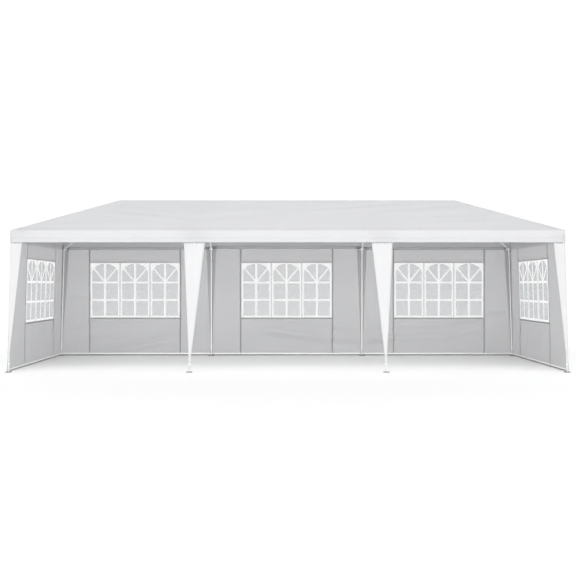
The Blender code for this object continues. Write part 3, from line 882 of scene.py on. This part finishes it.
skirt = settings(
    rows=60, columns=25, thickness=0.0010, below=0.003, backTop=2.180, kink=0.26, lean=0.013, leanTop=1.4,
    wrap=0.0168, wrapPower=10, curve=0.02, ridge=0.0020, ridgeWidth=0.016, cornerRadius=0.012,
    cornerPower=4, hem=0.014, hemThickness=0.0008, slotLow=2.091, slotHigh=2.105, slotEvery=4,
    slotClear=0.004, leastArea=0.31)


def narrowing(up):  # 1 at a skirt's top, 0 at the kink and below it
    return np.maximum(0, (up - skirt.kink) / (tent.skirtTop - skirt.kink))


def downward(up):  # 0 at a skirt's top, 1 at its tip
    return (tent.skirtTop - up) / (tent.skirtTop - tent.skirtTip)


def skirtHeights(name):
    # the rows of a skirt from top to tip, with both edges of its tie slots among them
    if name.startswith("back"):
        return np.linspace(skirt.backTop, tent.skirtTip, skirt.rows)
    ups = np.linspace(tent.skirtTop - skirt.below, tent.skirtTip, skirt.rows)
    ups = ups[(ups < skirt.slotLow - skirt.slotClear) | (ups > skirt.slotHigh + skirt.slotClear)]
    return np.sort([*ups, skirt.slotLow, skirt.slotHigh])[::-1]


def outsideSlots(name, ups, columns):
    # True for each cell of the grid that is cloth: slots lie in the front skirts under the valance's edge,
    # with a narrow tab left between two of them
    middle = (ups[:-1] + ups[1:]) / 2
    inRow = (middle > skirt.slotLow) & (middle < skirt.slotHigh) & name.startswith("front")
    number = np.arange(columns - 1)
    inColumn = (number % skirt.slotEvery > 0) & (number > 0) & (number < columns - 2)
    return ~(inRow[:, None] & inColumn[None, :])


def finishSkirt(name, ups, grid, uv, edges, wide):
    # the cloth and the hems along its two edges, each edge as a column with its directions across and out
    piece = clothSurface(name + "_cloth", grid, uv, skirt.thickness,
                         keep=outsideSlots(name, ups, grid.shape[1]))
    place(piece, skirtCloth, "skirt_fabric", name)
    hems = [tape(grid[:, column], across, outward, skirt.hem, skirt.hemThickness)
            for column, across, outward in edges]
    trim = place(joined(name + "_hems", hems), skirtCloth, "skirt_fabric")
    height, wide = float(ups[0] - ups[-1]), float(wide)


def makeMiddleSkirt(name):
    # a sheet that narrows evenly from its top to the kink and keeps its width below, curled round the leg
    # towards its tip, with a faint ridge down its middle. A front one's right edge leans out above the kink
    depth = -1 if name.startswith("front") else 1
    nodes = nodePoints(name)
    top, tip = rim(nodes, 1)[:, 0], rim(nodes, -1)[:, 0]
    ups = skirtHeights(name)
    up, u = np.meshgrid(ups, np.linspace(-1, 1, skirt.columns), indexing="ij")
    share = downward(up)
    centre = top.mean() + (tip.mean() - top.mean()) * share
    half = (np.ptp(tip) + (np.ptp(top) - np.ptp(tip)) * narrowing(up)) / 2
    if depth < 0:
        lean = skirt.lean * smoothStep(skirt.kink, skirt.leanTop, up) / 2
        centre, half = centre + lean, half + lean
    curvature = share ** skirt.wrapPower / skirt.wrap + skirt.curve
    arc = u * half * curvature
    inward = (1 - np.cos(arc)) / curvature - skirt.ridge * bump(u * half, 0, skirt.ridgeWidth)
    grid = np.stack([centre + np.sin(arc) / curvature, depth * (tent.skirtY - inward), up], axis=-1)
    edges = [(column, (1, 0, 0), (0, depth, 0)) for column in (1, -2)]
    finishSkirt(name, ups, grid, np.stack([u * half, up], axis=-1), edges, 2 * half.max())


def makeCornerSkirt(name):
    # a band bent round the corner leg, as narrow as the others: straight, an arc round the corner, straight
    sx = -1 if "left" in name else 1
    sy = -1 if name.startswith("front") else 1
    nodes = nodePoints(name)
    top, tip = rim(nodes, 1), rim(nodes, -1)
    ups = skirtHeights(name)
    share = downward(ups)[:, None]
    width = np.ptp(tip[:, 1]) + (np.ptp(top[:, 1]) - np.ptp(tip[:, 1])) * narrowing(ups)
    topX, tipX = abs(top[:, 0]).max(), abs(tip[:, 0]).max()
    outerX = topX + (tipX - topX) * share - tent.fabric / 2
    outerY = tent.cornerY - tent.fabric / 2
    radius = skirt.cornerRadius + (skirt.wrap - skirt.cornerRadius) * share ** skirt.cornerPower
    quarter = radius * math.pi / 4
    length = width[:, None] - radius + quarter
    run = np.linspace(-1, 1, 2 * skirt.columns + 1) * length
    angle = np.clip(run / radius, -math.pi / 4, math.pi / 4) + math.pi / 4
    over = np.maximum(abs(run) - quarter, 0) * np.sign(run)
    inX = radius * (1 - np.sin(angle)) + np.where(over < 0, -over, 0)
    inY = radius * (1 - np.cos(angle)) + np.where(over > 0, over, 0)
    up = np.broadcast_to(ups[:, None], run.shape)
    grid = np.stack([sx * (outerX - inX), sy * (outerY - inY), up], axis=-1)
    edges = [(1, (1, 0, 0), (0, sy, 0)), (-2, (0, 1, 0), (sx, 0, 0))]
    finishSkirt(name, ups, grid, np.stack([run, up], axis=-1), edges, 2 * width.max())


prefixes = [depth + side for depth in ("front_", "back_") for side in ("left_", "right_")]
for prefix in prefixes:
    makeMiddleSkirt(prefix + "middle_skirt")
    makeCornerSkirt(prefix + "corner_skirt")
print("skirts made")


# Hubs

hub = settings(
    start=0.029, length=0.052, radius=0.032, neck=0.0162, sides=28,
    along=(0.0, 0.0, 0.06, 0.16, 0.3, 0.5, 0.7, 0.84, 0.94, 1.0, 1.0),
    swell=(0.0, 0.55, 0.80, 0.92, 0.98, 1.0, 0.98, 0.92, 0.80, 0.55, 0.0))


def tubeEnds(name, reach=1e-3):
    # the middles of a straight tube's two ends, the lower one first: the points within reach of either
    # end of its longest direction
    points = nodePoints(name)
    middle = points.mean(axis=0)
    share = (points - middle) @ np.linalg.svd(points - middle)[2][0]
    ends = (points[share < share.min() + reach], points[share > share.max() - reach])
    return sorted((end.mean(axis=0) for end in ends), key=lambda end: end[2])


def makeHub(name):
    # a moulded barrel turned round a roof tube's socket: its radius swells from the neck and falls again
    low, high = tubeEnds(name)
    axis = unit(high - low)
    radius = hub.neck + (hub.radius - hub.neck) * np.array(hub.swell)
    side = unit(np.cross(axis, (1.0, 0, 0)))
    ring = circle(hub.sides) @ [side, np.cross(axis, side)]
    along = hub.start + hub.length * np.array(hub.along)
    points = low - axis * along[:, None, None] + ring * radius[:, None, None]
    place(joined(name + "_hub", [ringLoop(points)]), hubPlastic, "frame_steel")


for prefix in prefixes:
    makeHub(prefix + "hip_pole")
    makeHub(prefix + "rafter")
print("hubs made")


# Frame finish

for nodeName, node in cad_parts.items():
    if not node.hide_render:
        node.data.materials.clear()
        leg = backLegSteelLighterPlate if nodeName.startswith("back") else legSteel
        node.data.materials.append(leg if nodeName.endswith("_leg") else whiteSteel)
print("frame finished")


# Floor, light and camera

# shade and shadeGlow are the floor's painted shadow under the roof, fading between shadeBack and shadeFront
studio = settings(
    size=300.0, floor=0.99, glow=0.17, shade=0.82, shadeGlow=0.035, shadeBack=0.4, shadeFront=-2.1, edge=0.2,
    zenith=0.13, horizon=1.02, dome=(0.30, 0.90), front=1.50, back=0.50, lift=(0.05, 0.30))
shot = settings(place=(-0.104, -13.806, 1.391), lens=47.48, sensor=36, shift=(0.01142, -0.00262))


def makeFloor():
    # matt and faintly glowing, with a painted shadow: darker and dimmer under the roof towards the back wall
    square = np.array([(-1, -1, 0), (1, -1, 0), (1, 1, 0), (-1, 1, 0)], float) * studio.size
    floor = meshFrom("studio_floor", square, np.array([[0, 1, 2, 3]]))
    material, tree = startMaterial("studio floor")
    places = addNode(tree, "TexCoord", give="Object")
    x, y = (addNode(tree, "SeparateXYZ", {0: places}, give=axis) for axis in "XY")
    long, wide, edge = tent.halfLength, tent.halfWidth, studio.edge
    # painted shadow: openness is 0 under the roof and 1 out in the open
    openness = remap(tree, y, (studio.shadeBack, studio.shadeFront), (0, 1), soft=True)
    for where, side in ((y, (wide, wide + edge)), (x, (long, long + edge)), (x, (-long, -long - edge))):
        openness = calc(tree, "MAXIMUM", openness, remap(tree, where, side, (0, 1), soft=True))
    tone = remap(tree, openness, (0, 1), (studio.shade, studio.floor))
    strength = remap(tree, openness, (0, 1), (studio.shadeGlow, studio.glow))
    matt = addNode(tree, "BsdfDiffuse", {"Color": tone})
    glow = addNode(tree, "Emission", {"Strength": strength}, Color=(1, 1, 1, 1))
    addNode(tree, "OutputMaterial", {"Surface": addNode(tree, "AddShader", {0: matt, 1: glow})})
    floor.data.materials.append(material)


def makeWorld():
    # even white light, softer overhead, stronger from the front and a little from above the back
    world = bpy.data.worlds.new("studio")
    bpy.context.scene.world = world
    world.use_nodes = True
    tree = world.node_tree
    tree.nodes.clear()
    way = addNode(tree, "TexCoord", give="Generated")
    y, z = (addNode(tree, "SeparateXYZ", {0: way}, give=axis) for axis in "YZ")
    dome = remap(tree, z, studio.dome, (studio.horizon, studio.zenith), soft=True)
    front = remap(tree, y, (0, -1), (0, studio.front))
    back = remap(tree, y, (0, 1), (0, studio.back))
    lift = calc(tree, "MULTIPLY", back, remap(tree, z, studio.lift, (0, 1), soft=True))
    level = calc(tree, "ADD", dome, calc(tree, "ADD", front, lift))
    light = addNode(tree, "Background", {"Strength": level}, Color=(1, 1, 1, 1))
    addNode(tree, "OutputWorld", {"Surface": light})


def makeCamera():
    data = bpy.data.cameras.new("camera")
    data.lens = shot.lens
    data.sensor_width = shot.sensor
    data.shift_x, data.shift_y = shot.shift
    camera = addObject("camera", data)
    camera.location = shot.place
    camera.rotation_euler = (math.radians(90), 0, 0)
    bpy.context.scene.camera = camera


makeFloor()
makeWorld()
makeCamera()
bpy.context.scene.view_settings.view_transform = "Standard"
print("studio made")

bpy.context.view_layer.update()
